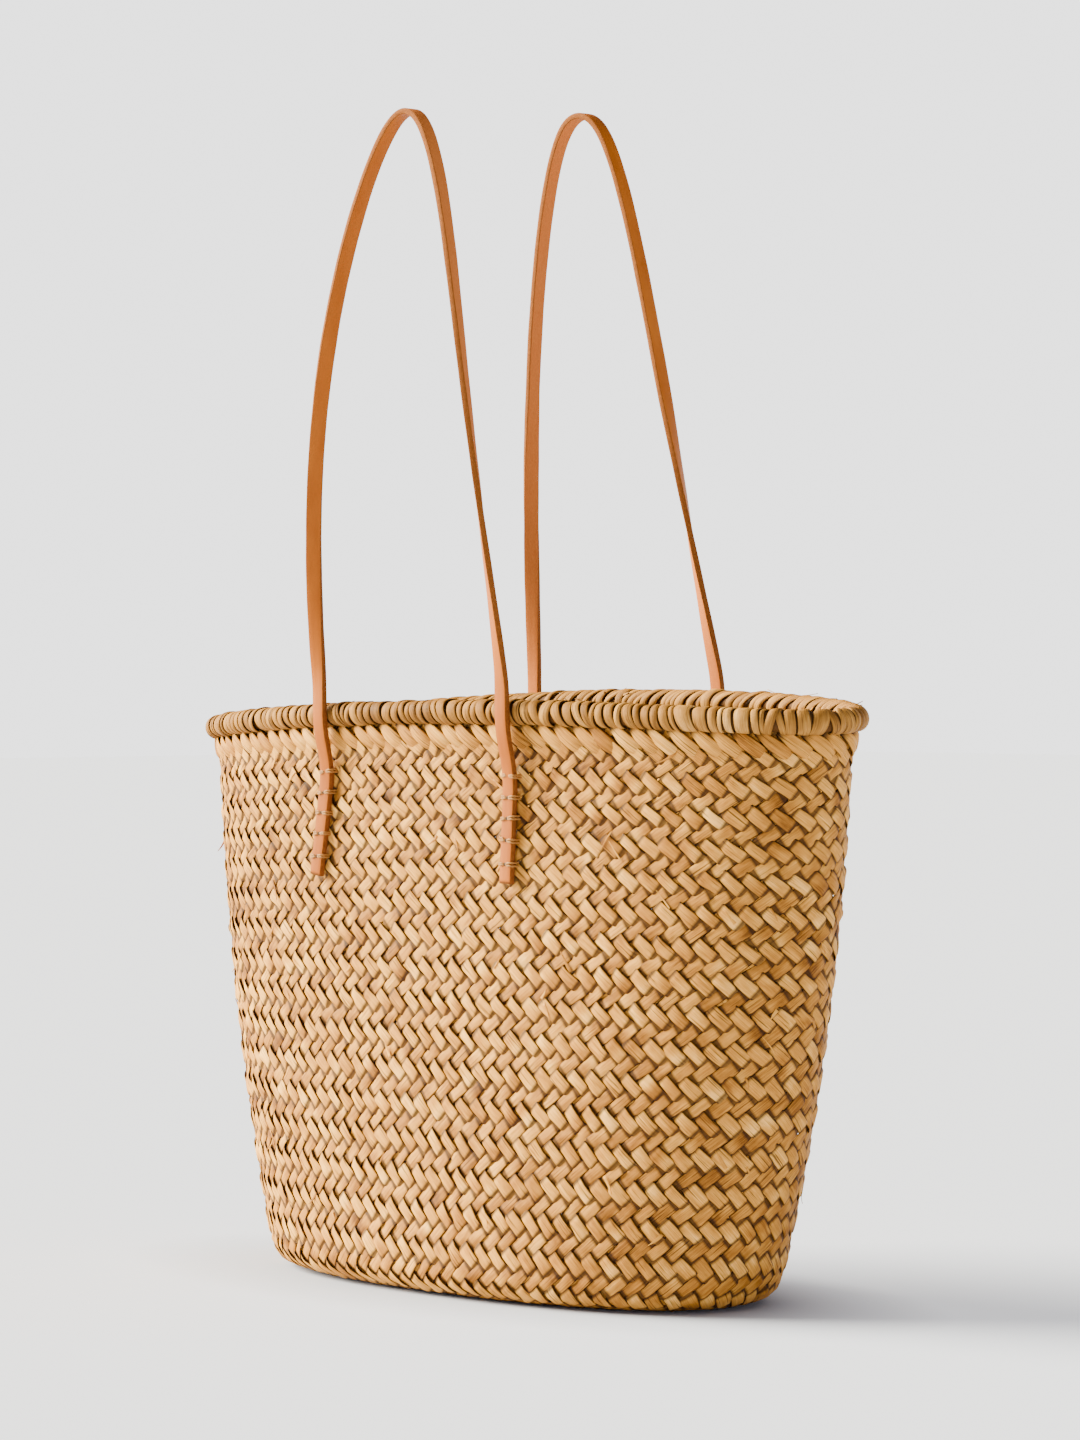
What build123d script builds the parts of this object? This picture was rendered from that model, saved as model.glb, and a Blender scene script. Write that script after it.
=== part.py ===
"""Woven market basket: a plaited oval body with a wrapped rim and two leather strap handles.

Millimetres, +Z up, +X along the long side, the front long side towards -Y.
The origin is the centre of the footprint, on the surface that the basket stands on.
"""
import os
from dataclasses import dataclass
from math import atan2, copysign, cos, degrees, pi, radians, sin

from build123d import *

# Plaited body
RIM_HEIGHT = 288.0          # centre of the rim coil, halfway between the middles of the long sides
END_DROOP = 9.0             # the rim dips by this much at the two ends
END_RISE = 3.2              # and its right end stands higher than its middle, its left end lower
REAR_RISE = 2.4             # its rear side stands higher too, its front side lower
RIM_HALF_LENGTH = 218.0     # centre line of the rim coil, seen from above
RIM_HALF_DEPTH = 68.0
RIM_SQUARENESS = 2.2        # 2 is an ellipse, more is fuller in the corners
FOOT_HALF_LENGTH = 158.0    # the body where it turns up from the ground
FOOT_HALF_DEPTH = 77.0
FOOT_SQUARENESS = 2.3
WEAVE_THICKNESS = 3.5       # two crossing strips with their crowns
TURN_UP_RADIUS = 16.0       # rounded lower edge, where the base turns into the wall
LOWER_BULGE = 0.65          # share of the flare that is taken up low on the wall
BULGE_SHARPNESS = 2.4
SECTION_FRACTIONS = (0.0, 0.08, 0.2, 0.4, 0.7, 1.0)
OVAL_POINTS = 32            # points on each oval cross-section

# Wrapped rim
RIM_RADIUS = 6.2            # over the wrapping
WRAP_THICKNESS = 1.4
WALL_TOP = RIM_HEIGHT + RIM_RADIUS

# Leather handles
STRAP_WIDTH = 7.7
STRAP_THICKNESS = 3.0
STRAP_HALF_SPACING = 67.0   # from the middle of the basket to each end of a handle
FLEX_HEIGHT = 300.0         # the strap bends here, just above the rim
STRAP_END_HEIGHT = 203.5    # lower tip of a strap on the wall
LIFT_HEIGHTS = (258.0, 279.0)  # between these the strap leaves the wall to pass outside the rim
ARCH_STEPS = 24             # sections along one handle
FOLD_LIMIT = radians(150)   # outward from upright
RUNNING_GAP = 0.3           # between the moving loop, the strap end and the rim

# Lashings that hold a strap end to the wall
LASHING_HEIGHTS = (255.5, 245.0, 235.0, 224.5, 213.0)
LASHING_BREADTH = 2.8       # two threads side by side
LASHING_THREAD = 1.3

FRONT, REAR = -1, 1         # sign of Y
LEFT, RIGHT = -1, 1         # sign of X
SIDE_NAMES = {FRONT: "front", REAR: "rear"}
END_NAMES = {LEFT: "left", RIGHT: "right"}

# How far each strap's lower tip is sewn to one side of its upper end, towards +X
TIP_SHIFT = {(FRONT, LEFT): -9.0, (FRONT, RIGHT): -2.0, (REAR, LEFT): -4.0, (REAR, RIGHT): 4.0}


@dataclass
class Arch:
    """Shape of one handle above its flex line."""

    rise: float             # from the flex line to the middle of the grip
    rise_power: float       # lower powers give a more pointed arch
    spread_power: float
    bow: float              # outward bulge half way up
    lean: float             # inward tilt at rest, in degrees
    twist_rise: float       # the strap makes a quarter turn over this rise
    twist_power: float      # lower powers turn sooner
    face_turn: int          # 1 turns the strap's outer face to the inside of the loop, -1 to its outside


ARCHES = {
    FRONT: Arch(rise=281.0, rise_power=1.55, spread_power=1.8, bow=11.0, lean=0.0,
                twist_rise=281.0, twist_power=0.6, face_turn=1),
    REAR: Arch(rise=289.0, rise_power=0.95, spread_power=2.25, bow=-4.0, lean=6.0,
               twist_rise=150.0, twist_power=1.0, face_turn=-1),
}


def outline(height, inset=0.0):
    """Half length, half depth and squareness of the body's outside at a height, moved inward."""
    rise = height / WALL_TOP
    share = (1 - LOWER_BULGE) * rise + LOWER_BULGE * (1 - (1 - rise) ** BULGE_SHARPNESS)
    half_length = FOOT_HALF_LENGTH + (RIM_HALF_LENGTH - FOOT_HALF_LENGTH) * share
    half_depth = FOOT_HALF_DEPTH + (RIM_HALF_DEPTH - FOOT_HALF_DEPTH) * share
    squareness = FOOT_SQUARENESS + (RIM_SQUARENESS - FOOT_SQUARENESS) * rise
    return half_length - inset, half_depth - inset, squareness


def oval_point(half_length, half_depth, squareness, angle):
    """Point of a rounded oval at a parameter angle."""
    along, across = cos(angle), sin(angle)
    return (
        half_length * copysign(abs(along) ** (2 / squareness), along),
        half_depth * copysign(abs(across) ** (2 / squareness), across),
    )


def oval_points(shape):
    """Points round a closed oval, evenly spread in angle."""
    return [oval_point(*shape, 2 * pi * step / OVAL_POINTS) for step in range(OVAL_POINTS)]


def depth_at(half_length, half_depth, squareness, offset):
    """Distance from the long axis out to an oval, at an offset along that axis."""
    return half_depth * (1 - abs(offset / half_length) ** squareness) ** (1 / squareness)


def rim_height_at(offset):
    """Height of the untilted rim's centre line at an offset along the long axis."""
    return RIM_HEIGHT - END_DROOP * (offset / RIM_HALF_LENGTH) ** 2


def tilted(part):
    """Part tilted as the rim is, with its rear side and its right end up."""
    centre = (0, 0, RIM_HEIGHT)
    raised = part.rotate(Axis(centre, (1, 0, 0)), degrees(atan2(REAR_RISE, RIM_HALF_DEPTH)))
    return raised.rotate(Axis(centre, (0, 1, 0)), -degrees(atan2(END_RISE, RIM_HALF_LENGTH)))


def body_solid(inset):
    """Filled body of the basket, moved inward by inset on the sides and the bottom."""
    with BuildPart() as body:
        for fraction in SECTION_FRACTIONS:
            height = inset + (WALL_TOP - inset) * fraction
            with BuildSketch(Plane.XY.offset(height)):
                with BuildLine():
                    Spline(*oval_points(outline(height, inset)), periodic=True)
                make_face()
        loft()
        fillet(body.edges().group_by(Axis.Z)[0], TURN_UP_RADIUS - inset)
    return body.part


def rim_coil(radius):
    """Solid coil along the rim, swept over the right half and mirrored to the left."""
    shape = (RIM_HALF_LENGTH, RIM_HALF_DEPTH, RIM_SQUARENESS)
    steps = OVAL_POINTS // 2
    plan = [oval_point(*shape, pi * (step / steps - 0.5)) for step in range(steps + 1)]
    with BuildPart() as half:
        with BuildLine() as path:
            Spline(*[(x, y, rim_height_at(x)) for x, y in plan], tangents=((1, 0, 0), (-1, 0, 0)))
        with BuildSketch(Plane(origin=path.line @ 0, z_dir=(1, 0, 0))):
            Circle(radius)
        sweep(path=path.wire())
    with BuildPart() as whole:
        add(half.part)
        mirror(about=Plane.YZ)
    return tilted(whole.part)


def flex_depth():
    """Distance from the long axis to the middle of a strap where it passes the rim."""
    rim_depth = depth_at(RIM_HALF_LENGTH, RIM_HALF_DEPTH, RIM_SQUARENESS, STRAP_HALF_SPACING)
    return rim_depth + RIM_RADIUS + RUNNING_GAP + STRAP_THICKNESS / 2


def wall_depth(height):
    """Distance from the long axis to the outside of the wall behind a strap."""
    return depth_at(*outline(height), STRAP_HALF_SPACING)


def arch_point(arch, turn):
    """Point of a front handle's centre line, from the right end at 0 to the left end at pi."""
    along = copysign(abs(cos(turn)) ** (2 / arch.spread_power), cos(turn))
    rise = max(sin(turn), 0.0) ** (2 / arch.rise_power)
    depth = flex_depth() + arch.bow * sin(pi * rise)
    return Vector(STRAP_HALF_SPACING * along, -depth, FLEX_HEIGHT + arch.rise * rise)


def arch_section(arch, step):
    """Plane across a front handle at a step along it, its X direction along the strap's width."""
    turn = pi * step / ARCH_STEPS
    nudge = 0.02
    middle = arch_point(arch, turn)
    ahead = arch_point(arch, min(turn + nudge, pi))
    behind = arch_point(arch, max(turn - nudge, 0.0))
    upright = step in (0, ARCH_STEPS)
    tangent = Vector(0, 0, copysign(1, cos(turn))) if upright else (ahead - behind).normalized()
    share = min(max((middle.Z - FLEX_HEIGHT) / arch.twist_rise, 0.0), 1.0)
    twist = pi / 2 * share ** arch.twist_power
    across = Vector(tangent.Z, 0, -tangent.X)
    width_way = across * cos(twist) - Vector(0, arch.face_turn, 0) * sin(twist)
    return Plane(origin=middle, x_dir=width_way, z_dir=tangent)


def handle_strap(side):
    """Moving part of a handle: the twisted arch with its lower edges rounded about the flex line."""
    arch = ARCHES[side]
    middle, half = -flex_depth(), STRAP_THICKNESS / 2
    with BuildPart() as strap:
        for step in range(ARCH_STEPS + 1):
            with BuildSketch(arch_section(arch, step)):
                Rectangle(STRAP_WIDTH, STRAP_THICKNESS)
        loft()
        for end in END_NAMES:
            with BuildSketch(Plane.YZ.offset(end * STRAP_HALF_SPACING)):
                with BuildLine():
                    start, finish = (middle - half, FLEX_HEIGHT), (middle + half, FLEX_HEIGHT)
                    ThreePointArc(start, (middle, FLEX_HEIGHT - half), finish)
                    Line(finish, start)
                make_face()
            extrude(amount=STRAP_WIDTH / 2, both=True)
    leaning = strap.part.rotate(Axis((0, middle, FLEX_HEIGHT), (1, 0, 0)), -arch.lean)
    return leaning if side == FRONT else leaning.mirror(Plane.XZ)


def strap_profile(side):
    """Side view of a sewn-down strap end, up to just under the flex line."""
    start, leave, clear = STRAP_END_HEIGHT, *LIFT_HEIGHTS
    outside, inside = flex_depth() + STRAP_THICKNESS / 2, flex_depth() - STRAP_THICKNESS / 2
    gap = STRAP_THICKNESS / 2 + RUNNING_GAP
    bite = 1.0  # reaches into the wall, and is then cut to the wall's own face

    def top(offset):
        """Highest point that stays clear of the loop folded to its limit."""
        return FLEX_HEIGHT - (gap - offset * cos(FOLD_LIMIT)) / sin(FOLD_LIMIT)

    section = [
        (wall_depth(start) + STRAP_THICKNESS, start),
        (wall_depth(leave) + STRAP_THICKNESS, leave),
        (outside, clear),
        (outside, top(STRAP_THICKNESS / 2)),
        (inside, top(-STRAP_THICKNESS / 2)),
        (inside, clear + bite),
        (wall_depth(leave) - bite, leave + bite),
        (wall_depth(start) - bite, start),
    ]
    return [(side * depth, height) for depth, height in section]


def strap_middle(side, end, height):
    """X of a strap end's middle at a height."""
    lowered = max(LIFT_HEIGHTS[0] - height, 0.0) / (LIFT_HEIGHTS[0] - STRAP_END_HEIGHT)
    return end * STRAP_HALF_SPACING + TIP_SHIFT[side, end] * lowered


def strap_end(side, end):
    """Sewn-down end of a strap: flat on the wall, then out past the rim."""
    bends = (STRAP_END_HEIGHT, LIFT_HEIGHTS[0], FLEX_HEIGHT)
    middles = [(strap_middle(side, end, height), height) for height in bends]
    left_edge = [(x - STRAP_WIDTH / 2, z) for x, z in middles]
    right_edge = [(x + STRAP_WIDTH / 2, z) for x, z in reversed(middles)]
    with BuildPart() as strap:
        with BuildSketch(Plane.YZ):
            with BuildLine():
                Polyline(*strap_profile(side), close=True)
            make_face()
        extrude(amount=RIM_HALF_LENGTH, both=True)
        with BuildSketch(Plane.XZ):
            with BuildLine():
                Polyline(*left_edge, *right_edge, close=True)
            make_face()
        extrude(amount=2 * RIM_HALF_DEPTH, both=True, mode=Mode.INTERSECT)
        add(outer_body, mode=Mode.SUBTRACT)
    return strap.part


def lashing(side, end, height, strap):
    """Pair of threads across a strap end, down on both sides into the weave."""
    reach = STRAP_THICKNESS + LASHING_THREAD
    bite = 1.5
    middle = side * (wall_depth(height) + (reach - bite) / 2)
    with BuildPart() as threads:
        with Locations((strap_middle(side, end, height), middle, height)):
            Box(STRAP_WIDTH + 2 * LASHING_THREAD, reach + bite, LASHING_BREADTH)
        face_edges = threads.edges().filter_by(Axis.Z).group_by(Axis.Y)
        fillet(face_edges[-1] if side == REAR else face_edges[0], LASHING_THREAD)
        add(strap, mode=Mode.SUBTRACT)
        add(outer_body, mode=Mode.SUBTRACT)
    return threads.part


def save(part, node):
    """Label a finished piece and write it as its own file."""
    part.label = node
    export_step(part, f"parts/{node}.step")


os.makedirs("parts", exist_ok=True)
outer_body = body_solid(0.0)
cavity = body_solid(WEAVE_THICKNESS)
coil = rim_coil(RIM_RADIUS)
core = rim_coil(RIM_RADIUS - WRAP_THICKNESS)

# Flat plaited base, inside the turned-up edge
with BuildPart() as woven_base:
    with BuildSketch():
        with BuildLine():
            Spline(*oval_points(outline(0.0, TURN_UP_RADIUS)), periodic=True)
        make_face()
    extrude(amount=WEAVE_THICKNESS)
save(woven_base.part, "woven_base")

# Everything above the rim's centre line
with BuildPart() as headspace:
    with BuildSketch(Plane.XZ):
        with BuildLine():
            reach = RIM_HALF_LENGTH + 2 * RIM_RADIUS
            end_height = rim_height_at(reach)
            ThreePointArc((-reach, end_height), (0, RIM_HEIGHT), (reach, end_height))
            headroom = RIM_HEIGHT + 10 * RIM_RADIUS
            Polyline((reach, end_height), (reach, headroom), (-reach, headroom), (-reach, end_height))
        make_face()
    extrude(amount=2 * RIM_HALF_DEPTH, both=True)

# Plaited wall, open at the top and hollowed for the coil
with BuildPart() as woven_wall:
    add(outer_body)
    add(cavity, mode=Mode.SUBTRACT)
    add(woven_base.part, mode=Mode.SUBTRACT)
    add(tilted(headspace.part), mode=Mode.SUBTRACT)
    add(coil, mode=Mode.SUBTRACT)
save(woven_wall.part, "woven_wall")

# Rim: a hidden core bundle inside its wrapping
save(core, "rim_core")
with BuildPart() as rim_wrapping:
    add(coil)
    add(core, mode=Mode.SUBTRACT)
save(rim_wrapping.part, "rim_wrapping")

# Moving part of each handle
for side, side_name in SIDE_NAMES.items():
    save(handle_strap(side), f"{side_name}_handle_strap")

# Fixed ends of the straps and their lashings
for side, side_name in SIDE_NAMES.items():
    for end, end_name in END_NAMES.items():
        foot = strap_end(side, end)
        save(foot, f"{side_name}_{end_name}_strap_end")
        for number, height in enumerate(LASHING_HEIGHTS, start=1):
            threads = lashing(side, end, height, foot)
            save(threads, f"{side_name}_{end_name}_lashing_{number}")
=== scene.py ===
import math

import bpy
import numpy as np
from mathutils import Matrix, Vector


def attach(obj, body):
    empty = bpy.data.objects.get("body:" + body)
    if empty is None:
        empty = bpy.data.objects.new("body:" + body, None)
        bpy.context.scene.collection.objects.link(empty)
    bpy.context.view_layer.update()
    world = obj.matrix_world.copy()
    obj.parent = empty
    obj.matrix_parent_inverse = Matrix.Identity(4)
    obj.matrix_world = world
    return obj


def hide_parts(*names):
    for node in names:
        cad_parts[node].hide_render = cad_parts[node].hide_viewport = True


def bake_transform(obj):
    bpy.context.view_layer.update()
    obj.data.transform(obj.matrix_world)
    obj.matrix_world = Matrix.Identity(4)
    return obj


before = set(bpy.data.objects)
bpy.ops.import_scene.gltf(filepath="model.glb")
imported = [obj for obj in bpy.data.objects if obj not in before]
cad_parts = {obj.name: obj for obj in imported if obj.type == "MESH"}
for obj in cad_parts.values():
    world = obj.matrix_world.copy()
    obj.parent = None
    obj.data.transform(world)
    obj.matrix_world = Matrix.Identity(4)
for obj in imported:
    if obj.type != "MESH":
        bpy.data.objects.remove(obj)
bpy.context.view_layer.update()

MM = 0.001
RNG = np.random.default_rng(20)

# ---------------------------------------------------------------- driving dimensions, millimetres
RIM_HEIGHT = 288.0
END_DROOP = 9.0
END_RISE = 3.2              # the rim's right end stands this much higher, its left end lower
REAR_RISE = 2.4             # and its rear side stands higher than its front side
RIM_HALF_LENGTH = 218.0
RIM_HALF_DEPTH = 68.0
RIM_SQUARENESS = 2.2
RIM_RADIUS = 6.2
FOOT_HALF_LENGTH = 158.0
FOOT_HALF_DEPTH = 77.0
FOOT_SQUARENESS = 2.3
WALL_TOP = RIM_HEIGHT + RIM_RADIUS
LOWER_BULGE = 0.65
BULGE_SHARPNESS = 2.4
TURN_UP_RADIUS = 16.0
HALF_WEAVE = 1.75           # from the body's outside to the middle of the weave

STRAP_WIDTH = 7.7
STRAP_THICKNESS = 3.0
STRAP_HALF_SPACING = 67.0
FLEX_HEIGHT = 300.0
STRAP_END_HEIGHT = 203.5
LIFT_HEIGHTS = (258.0, 279.0)
LASHING_HEIGHTS = (255.5, 245.0, 235.0, 224.5, 213.0)

STRIPS = 88                 # strips of each family round the body
ROWS = 35.5                 # crossing rows from the edge of the base to the rim's centre line
ROW_PITCH_FOOT = 9.2        # height of one row; it shrinks as the body widens
STRIP_SPACING = 6.3
STRIP_THICKNESS = 0.65
PATTERN_SHIFT = 2           # crossings by which the twill is shifted to suit the hem row
HEM_ROWS = (33.1, 34.85)    # rows covered by the folded hem strips

FRONT, REAR = -1, 1
LEFT, RIGHT = -1, 1
SIDE_NAMES = {FRONT: "front", REAR: "rear"}
END_NAMES = {LEFT: "left", RIGHT: "right"}
TIP_SHIFT = {(FRONT, LEFT): -9.0, (FRONT, RIGHT): -2.0, (REAR, LEFT): -4.0, (REAR, RIGHT): 4.0}
ARCHES = {
    FRONT: dict(rise=281.0, rise_power=1.55, spread_power=1.8, bow=11.0, lean=0.0,
                twist_rise=281.0, twist_power=0.6, face_turn=1),
    REAR: dict(rise=289.0, rise_power=0.95, spread_power=2.25, bow=-4.0, lean=6.0,
               twist_rise=150.0, twist_power=1.0, face_turn=-1),
}


# ---------------------------------------------------------------- small helpers
def smooth(x):
    x = np.clip(x, 0.0, 1.0)
    return x * x * (3 - 2 * x)


def unit(vectors):
    """Rows of vectors, each brought to length one."""
    return vectors / np.linalg.norm(vectors, axis=-1, keepdims=True)


def path_lengths(line):
    """Distance along a line of points, from its first point to each."""
    return np.concatenate([[0], np.cumsum(np.linalg.norm(np.diff(line, axis=0), axis=1))])


def resample(line, length, even):
    """Points of a line at new distances along it."""
    return np.stack([np.interp(even, length, line[:, axis]) for axis in range(3)], -1)


def relax(values, rounds):
    """Evens out kinks in place; the two ends stay where they are."""
    for _ in range(rounds):
        values[1:-1] = 0.25 * values[:-2] + 0.5 * values[1:-1] + 0.25 * values[2:]


def fibre_coordinates(length, side, seed, around):
    """Distance along a strip, distance across it, and a number that tells strips apart."""
    return np.stack([np.repeat(length, around), side.ravel(), np.full(len(length) * around, seed)], -1)


def strip_faces(rings, around, start):
    """Faces of one closed strip, whose points begin at a number."""
    return [tube_faces(rings, around, start), cap_faces(rings, around, start)]


def add_object(name, data):
    thing = bpy.data.objects.new(name, data)
    bpy.context.scene.collection.objects.link(thing)
    return thing


def power_oval(half_length, half_depth, squareness, angle):
    """Points of a rounded oval, for arrays of sizes and angles."""
    c, s = np.cos(angle), np.sin(angle)
    x = half_length * np.sign(c) * np.abs(c) ** (2 / squareness)
    y = half_depth * np.sign(s) * np.abs(s) ** (2 / squareness)
    return x, y


def outline(height, inset=0.0):
    """Half length, half depth and squareness of the body's outside, moved inward by inset."""
    rise = np.clip(height / WALL_TOP, 0.0, 1.0)
    share = (1 - LOWER_BULGE) * rise + LOWER_BULGE * (1 - (1 - rise) ** BULGE_SHARPNESS)
    half_length = FOOT_HALF_LENGTH + (RIM_HALF_LENGTH - FOOT_HALF_LENGTH) * share
    half_depth = FOOT_HALF_DEPTH + (RIM_HALF_DEPTH - FOOT_HALF_DEPTH) * share
    squareness = FOOT_SQUARENESS + (RIM_SQUARENESS - FOOT_SQUARENESS) * rise
    return half_length - inset, half_depth - inset, squareness


def depth_at(half_length, half_depth, squareness, offset):
    return half_depth * (1 - np.abs(offset / half_length) ** squareness) ** (1 / squareness)


def wall_depth(height, offset=STRAP_HALF_SPACING):
    """Distance from the long axis to the outside of the wall."""
    return depth_at(*outline(height), offset)


def rim_height_at(x, y):
    """Height of the rim's centre line above a point of the plan."""
    return (RIM_HEIGHT - END_DROOP * (x / RIM_HALF_LENGTH) ** 2
            + END_RISE * x / RIM_HALF_LENGTH + REAR_RISE * y / RIM_HALF_DEPTH)


def flex_depth():
    rim_depth = depth_at(RIM_HALF_LENGTH, RIM_HALF_DEPTH, RIM_SQUARENESS, STRAP_HALF_SPACING)
    return rim_depth + RIM_RADIUS + 0.3 + STRAP_THICKNESS / 2


def make_object(name, points, faces, attributes, material, body="basket"):
    """Mesh object from points in millimetres, with point attributes, riding on a body."""
    mesh = bpy.data.meshes.new(name)
    points = np.asarray(points, dtype=np.float64) * MM
    faces = np.asarray(faces, dtype=np.int32)
    corners = faces.shape[1]
    mesh.vertices.add(len(points))
    mesh.vertices.foreach_set("co", points.ravel())
    mesh.loops.add(faces.size)
    mesh.loops.foreach_set("vertex_index", faces.ravel())
    mesh.polygons.add(len(faces))
    mesh.polygons.foreach_set("loop_start", np.arange(len(faces), dtype=np.int32) * corners)
    mesh.update(calc_edges=True)
    mesh.polygons.foreach_set("use_smooth", np.full(len(faces), True))
    for key, values in attributes.items():
        values = np.asarray(values, dtype=np.float32)
        kind = "FLOAT" if values.ndim == 1 else "FLOAT_VECTOR"
        layer = mesh.attributes.new(key, kind, "POINT")
        layer.data.foreach_set("value" if values.ndim == 1 else "vector", values.ravel())
    mesh.validate()
    thing = add_object(name, mesh)
    mesh.materials.append(material)
    if body:
        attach(thing, body)
    return thing


def tube_faces(rings, around, start=0):
    """Quads of one closed-section tube laid out ring by ring, with no end caps."""
    ring = np.arange(rings - 1)[:, None] * around + start
    at = np.arange(around)[None, :]
    nxt = (at + 1) % around
    return np.stack([ring + at, ring + nxt, ring + around + nxt, ring + around + at], -1).reshape(-1, 4)


def cap_faces(rings, around, start=0):
    """Quads that close both ends of a tube whose section has an even number of points."""
    caps = []
    for base, flip in ((start, True), (start + (rings - 1) * around, False)):
        for k in range(around // 2 - 1):
            quad = [base + k, base + k + 1, base + around - 2 - k, base + around - 1 - k]
            caps.append(quad[::-1] if flip else quad)
    return np.array(caps)


# ---------------------------------------------------------------- surface of the body
SURFACE_STEP = 1.5
SURFACE_START = -16.0       # a little way in under the base
RING_STEPS = 1024


def meridian(along):
    """Height and inset of the weave's middle surface, at a distance up from the base's edge."""
    radius = TURN_UP_RADIUS - HALF_WEAVE
    quarter = radius * math.pi / 2
    angle = np.clip(along / radius, 0.0, math.pi / 2)
    height = HALF_WEAVE + radius * (1 - np.cos(angle)) + np.maximum(along - quarter, 0.0)
    inset = HALF_WEAVE + radius * (1 - np.sin(angle)) + np.maximum(-along, 0.0)
    return height, inset


MERIDIAN_LENGTH = (TURN_UP_RADIUS - HALF_WEAVE) * (math.pi / 2 - 1) + RIM_HEIGHT - HALF_WEAVE


def build_surface():
    """Table of points, normals and girth over the body, by distance up and share round the girth."""
    alongs = np.arange(SURFACE_START, MERIDIAN_LENGTH + 6.0, SURFACE_STEP)
    angle = np.linspace(0, 2 * math.pi, 4097)
    shares = np.arange(RING_STEPS + 1) / RING_STEPS
    points = np.zeros((len(alongs), RING_STEPS + 1, 3))
    girth = np.zeros(len(alongs))
    for row, along in enumerate(alongs):
        height, inset = meridian(along)
        x, y = power_oval(*outline(height, inset), angle)
        length = np.concatenate([[0], np.cumsum(np.hypot(np.diff(x), np.diff(y)))])
        girth[row] = length[-1]
        x = np.interp(shares * length[-1], length, x)
        y = np.interp(shares * length[-1], length, y)
        raised = (rim_height_at(x, y) - RIM_HEIGHT) * (height - HALF_WEAVE) / RIM_HEIGHT
        points[row] = np.stack([x, y, height + raised], -1)
    ring = points[:, :-1]
    up = np.gradient(ring, axis=0)
    round_way = np.roll(ring, -1, 1) - np.roll(ring, 1, 1)
    return alongs, ring, unit(np.cross(round_way, up)), girth


ALONGS, RING_POINTS, RING_NORMALS, GIRTH = build_surface()


def sample(table, along, share):
    row = np.clip((along - ALONGS[0]) / SURFACE_STEP, 0, len(ALONGS) - 1.001)
    col = (share % 1.0) * RING_STEPS
    r0, c0 = row.astype(int), col.astype(int) % RING_STEPS
    fr, fc = (row - r0)[..., None], (col - col.astype(int))[..., None]
    c1 = (c0 + 1) % RING_STEPS
    low = table[r0, c0] * (1 - fc) + table[r0, c1] * fc
    high = table[r0 + 1, c0] * (1 - fc) + table[r0 + 1, c1] * fc
    return low * (1 - fr) + high * fr


def surface(along, share, out):
    """Points at a distance outward from the weave's middle surface."""
    return sample(RING_POINTS, along, share) + unit(sample(RING_NORMALS, along, share)) * out[..., None]


ROW_PITCH_RIM = 2 * MERIDIAN_LENGTH / ROWS - ROW_PITCH_FOOT
PITCH_CHANGE = (ROW_PITCH_RIM - ROW_PITCH_FOOT) / ROWS


def row_along(row):
    """Distance up the body at a row number; rows below zero lie under the base."""
    return ROW_PITCH_FOOT * row + 0.5 * PITCH_CHANGE * np.maximum(row, 0.0) ** 2


def row_pitch(row):
    return ROW_PITCH_FOOT + PITCH_CHANGE * np.maximum(row, 0.0)


# ---------------------------------------------------------------- materials
class Nodes:
    """Short-hand for building a node tree."""

    def __init__(self, name):
        self.material = bpy.data.materials.new(name)
        self.material.use_nodes = True
        self.tree = self.material.node_tree
        self.tree.nodes.clear()
        self.shader = self.add("ShaderNodeBsdfPrincipled")
        output = self.add("ShaderNodeOutputMaterial")
        self.link(self.shader.outputs[0], output.inputs[0])

    def add(self, kind, **settings):
        node = self.tree.nodes.new(kind)
        for key, value in settings.items():
            setattr(node, key, value)
        return node

    def link(self, source, target):
        if isinstance(source, (int, float, tuple)):
            target.default_value = source
        else:
            self.tree.links.new(source, target)

    def attribute(self, name, output="Fac"):
        return self.add("ShaderNodeAttribute", attribute_name=name).outputs[output]

    def scaled(self, vector, scale):
        node = self.add("ShaderNodeVectorMath", operation="MULTIPLY")
        self.link(vector, node.inputs[0])
        node.inputs[1].default_value = scale
        return node.outputs[0]

    def noise(self, vector, scale=1.0, detail=3.0, roughness=0.55):
        node = self.add("ShaderNodeTexNoise")
        self.link(vector, node.inputs["Vector"])
        node.inputs["Scale"].default_value = scale
        node.inputs["Detail"].default_value = detail
        node.inputs["Roughness"].default_value = roughness
        return node.outputs["Fac"]

    def maths(self, operation, a, b=0.0, c=0.0):
        node = self.add("ShaderNodeMath", operation=operation)
        for socket, value in zip(node.inputs, (a, b, c)):
            self.link(value, socket)
        return node.outputs[0]

    def spread(self, value, low, high, to_low=0.0, to_high=1.0):
        node = self.add("ShaderNodeMapRange")
        for socket, amount in zip(node.inputs, (value, low, high, to_low, to_high)):
            self.link(amount, socket)
        return node.outputs[0]

    def ramp(self, value, stops):
        node = self.add("ShaderNodeValToRGB")
        band = node.color_ramp
        band.elements[0].position, band.elements[0].color = stops[0]
        band.elements[1].position, band.elements[1].color = stops[-1]
        for position, colour in stops[1:-1]:
            band.elements.new(position).color = colour
        self.link(value, node.inputs[0])
        return node.outputs[0]

    def mix(self, share, a, b, mode="MIX"):
        node = self.add("ShaderNodeMix", data_type="RGBA", blend_type=mode)
        for socket, value in zip((node.inputs[0], node.inputs[6], node.inputs[7]), (share, a, b)):
            self.link(value, socket)
        return node.outputs[2]

    def bump(self, height, strength, distance_mm):
        node = self.add("ShaderNodeBump")
        node.inputs["Strength"].default_value = strength
        node.inputs["Distance"].default_value = distance_mm * MM
        self.link(height, node.inputs["Height"])
        self.link(node.outputs[0], self.shader.inputs["Normal"])


MATT_SPECULAR = 0.08


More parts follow.
